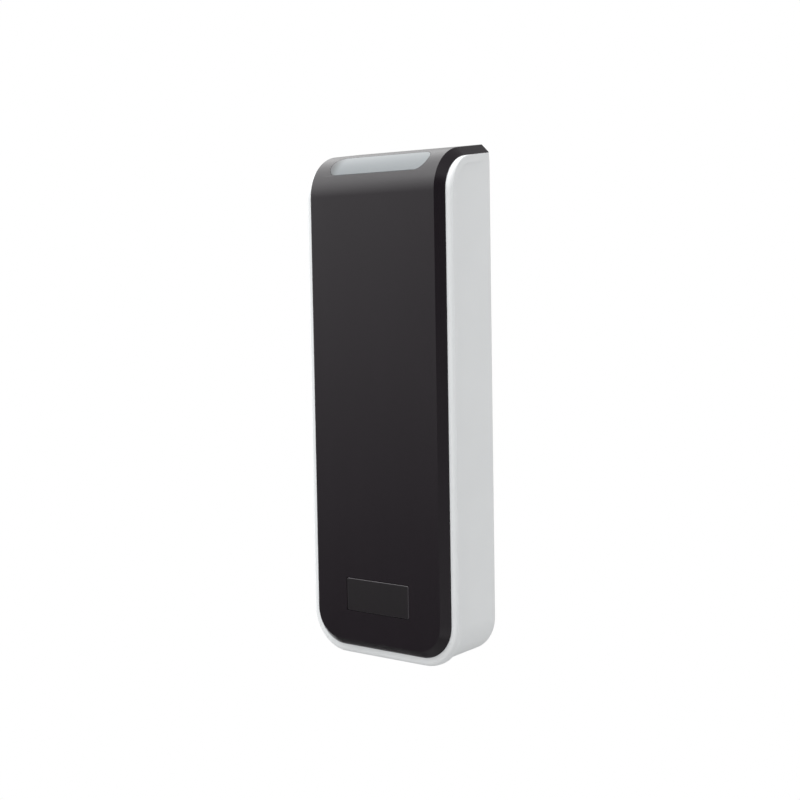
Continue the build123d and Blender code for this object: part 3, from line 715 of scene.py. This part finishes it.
epoxy = finish_material(
    "package_epoxy", (0.013, 0.013, 0.015), (0.021, 0.021, 0.023), (0.42, 0.58), grain=1600
)
for chip in ("controller_chip", "radio_chip", "voltage_regulator"):
    moulded_piece(chip, epoxy, 0.00012)
gull_wing_leads = lead_tree()
chip_leads = grow("controller_leads", [(gull_wing_leads, {
    "Leads": 11, "Pitch": 0.0008, "Body Half": 0.0049, "Lead Width": 0.00035, "Lead Thickness": 0.00015,
    "Shoulder Height": 0.0006, "Reach": 0.0011, "Finish": solder_tin,
})], Matrix.Translation(on_board("controller_chip")) @ front_plane)
radio_pads = grow("radio_chip_pads", [(gull_wing_leads, {
    "Leads": 8, "Pitch": 0.0005, "Body Half": 0.00245, "Lead Width": 0.00024, "Lead Thickness": 0.00008,
    "Shoulder Height": 0.0001, "Reach": 0.00035, "Finish": solder_tin,
})], Matrix.Translation(on_board("radio_chip")) @ front_plane)
regulator_legs = grow("regulator_legs", [
    (row_of_blocks, {
        "Count": 3, "Start": (-0.0023, -0.0024, 0.0001), "Step": (0.0023, 0, 0),
        "Size": (0.0007, 0.0016, 0.0002), "Finish": solder_tin,
    }),
    (row_of_blocks, {
        "Count": 1, "Start": (0, 0.0024, 0.0001), "Step": (0.001, 0, 0),
        "Size": (0.0030, 0.0016, 0.0002), "Finish": solder_tin,
    }),
], Matrix.Translation(on_board("voltage_regulator")) @ front_plane)
for tinned in (chip_leads, radio_pads, regulator_legs):
    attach(tinned, "reader")

# Crystal, capacitors, inductor and buzzer. The small parts of the radio and its power supply: a
# tinned can, brown ceramic blocks with tinned ends, a ferrite block and a black sounder.
tinned_can = finish_material(
    "tinned_can", (0.64, 0.64, 0.65), (0.76, 0.76, 0.77), (0.18, 0.32), grain=3500, metallic=1.0
)
moulded_piece("crystal", tinned_can, 0.0002)
ceramic = finish_material(
    "capacitor_ceramic", (0.38, 0.26, 0.15), (0.48, 0.34, 0.20), (0.35, 0.5), cloud=900
)
moulded_piece("capacitors", ceramic, 0.00008)
moulded_piece("power_inductor", ferrite, 0.00015)
moulded_piece("buzzer", epoxy, 0.0003)
capacitor_low, capacitor_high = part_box("capacitors")
end_cap = 0.0004
capacitor_length = 0.0020
capacitor_pitch = 0.004
half_width = 0.000625
half_height = 0.0005
cap_ends = []
for x in (
    capacitor_low[0], capacitor_low[0] + capacitor_length,
    capacitor_high[0] - capacitor_length, capacitor_high[0],
):
    cap_ends.append((row_of_blocks, {
        "Count": 4, "Start": (x, board_low[1] - half_height, capacitor_low[2] + half_width),
        "Step": (0, 0, capacitor_pitch),
        "Size": (end_cap, 0.00106, 0.00131), "Finish": solder_tin,
    }))
capacitor_ends = grow("capacitor_ends", cap_ends)
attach(capacitor_ends, "reader")

# Terminal block. Six screw clamps in a green moulding, soldered through the main board, where the
# cable's wires end; the wires go in from below.
terminal_moulding = finish_material(
    "terminal_moulding", (0.020, 0.150, 0.055), (0.030, 0.190, 0.075), (0.34, 0.48), grain=1800
)
moulded_piece("terminal_block", terminal_moulding, 0.00015)
zinc_plate = finish_material(
    "bright_zinc", (0.60, 0.62, 0.65), (0.72, 0.74, 0.77), (0.18, 0.40), grain=3500, metallic=1.0
)
moulded_piece("terminal_screws", zinc_plate, 0.0001)
moulded_piece("terminal_clamps", turned_brass, 0.00006)
block_low, block_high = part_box("terminal_block")
pole_pitch = 0.00381
solder_pins = grow("terminal_pins", [(row_of_blocks, {
    "Count": 6, "Start": (-2.5 * pole_pitch, board_low[1] + 0.0003, (block_low[2] + block_high[2]) / 2),
    "Step": (pole_pitch, 0, 0), "Size": (0.0009, 0.0026, 0.0009), "Finish": solder_tin,
})])
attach(solder_pins, "reader")

# Rear cover. A flat black ABS tray that closes the reader's back, with an opening over the
# terminals and a row of sound slots; four screws hold it in the housing, and four hold the boards.
black_abs = finish_material(
    "black_abs", (0.016, 0.016, 0.017), (0.026, 0.026, 0.027), (0.42, 0.58), grain=1800
)
moulded_piece("rear_cover", black_abs, 0.00015)
moulded_piece("case_screws", zinc_plate, 0.00006)
moulded_piece("board_screws", zinc_plate, 0.00006)

# Tamper switch. A sealed push switch on the main board; the wall holds its nylon plunger in, and a
# steel coil pushes it out when the reader is lifted.
moulded_piece("tamper_switch", epoxy, 0.0002)
moulded_piece("tamper_plunger", nylon, 0.00012)
spring_steel = finish_material(
    "spring_wire", (0.48, 0.48, 0.50), (0.60, 0.60, 0.62), (0.20, 0.36), grain=5000, metallic=1.0, rub=0.0
)
moulded_piece("tamper_spring", spring_steel, 0.00001, 80)
switch_low, switch_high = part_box("tamper_switch")
leg_reach = 0.0003
leg_pitch = 0.0045
lowest_leg_z = (switch_low[2] + switch_high[2]) / 2 - leg_pitch / 2
switch_legs = []
for x in (switch_low[0] - leg_reach, switch_high[0] + leg_reach):
    switch_legs.append((row_of_blocks, {
        "Count": 2, "Start": (x, board_high[1] + leg_reach, lowest_leg_z),
        "Step": (0, 0, leg_pitch), "Size": (0.0010, 0.0005, 0.0007), "Finish": solder_tin,
    }))
switch_pins = grow("tamper_switch_pins", switch_legs)
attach(switch_pins, "reader")


# Security screw. A stainless button head with a six-lobed pin socket, up through the bottom of the
# housing into the plate's insert; a zinc-plated steel washer stays under its head.
def thread_tree():
    """Geometry tree: a thread, as a ridge that winds up a shank."""
    tree = bpy.data.node_groups.new("screw_thread", "GeometryNodeTree")
    for socket in ("Turns", "Shank Radius", "Length", "Ridge"):
        tree.interface.new_socket(socket, in_out="INPUT", socket_type="NodeSocketFloat")
    tree.interface.new_socket("Steps Per Turn", in_out="INPUT", socket_type="NodeSocketInt")
    tree.interface.new_socket("Finish", in_out="INPUT", socket_type="NodeSocketMaterial")
    tree.interface.new_socket("Geometry", in_out="OUTPUT", socket_type="NodeSocketGeometry")
    given = tree.nodes.new("NodeGroupInput").outputs
    wind = add_node(tree, "GeometryNodeCurveSpiral", {
        "Resolution": given["Steps Per Turn"], "Rotations": given["Turns"],
        "Start Radius": given["Shank Radius"], "End Radius": given["Shank Radius"],
        "Height": given["Length"],
    })
    ridge = add_node(tree, "GeometryNodeCurvePrimitiveCircle", {"Resolution": 6, "Radius": given["Ridge"]})
    swept = add_node(tree, "GeometryNodeCurveToMesh", {
        "Curve": wind.outputs[0], "Profile Curve": ridge.outputs[0], "Fill Caps": True,
    })
    smooth = add_node(tree, "GeometryNodeSetShadeSmooth", {0: swept.outputs[0]})
    real = add_node(tree, "GeometryNodeRealizeInstances", {0: smooth.outputs[0]})
    painted = add_node(tree, "GeometryNodeSetMaterial", {0: real.outputs[0], "Material": given["Finish"]})
    add_node(tree, "NodeGroupOutput", {0: painted.outputs[0]})
    return tree


stainless = finish_material(
    "stainless_steel", (0.56, 0.56, 0.57), (0.70, 0.70, 0.71), (0.16, 0.32), grain=4500, metallic=1.0
)
moulded_piece("security_screw", stainless, 0.00006)
moulded_piece("screw_washer", zinc_plate, 0.00005)
screw_low, screw_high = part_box("security_screw")
thread_pitch = 0.0005
thread_length = 0.0026
plain_tip = 0.0004
shank_radius = 0.00146
screw_middle = (Vector(screw_low) + Vector(screw_high)) / 2
thread_foot = Vector((screw_middle.x, screw_middle.y, screw_high[2] - thread_length - plain_tip))
thread = grow("security_screw_thread", [(thread_tree(), {
    "Turns": thread_length / thread_pitch, "Shank Radius": shank_radius, "Length": thread_length,
    "Ridge": 0.00007, "Steps Per Turn": 32, "Finish": stainless,
})], Matrix.Translation(thread_foot))
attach(thread, "security_screw")
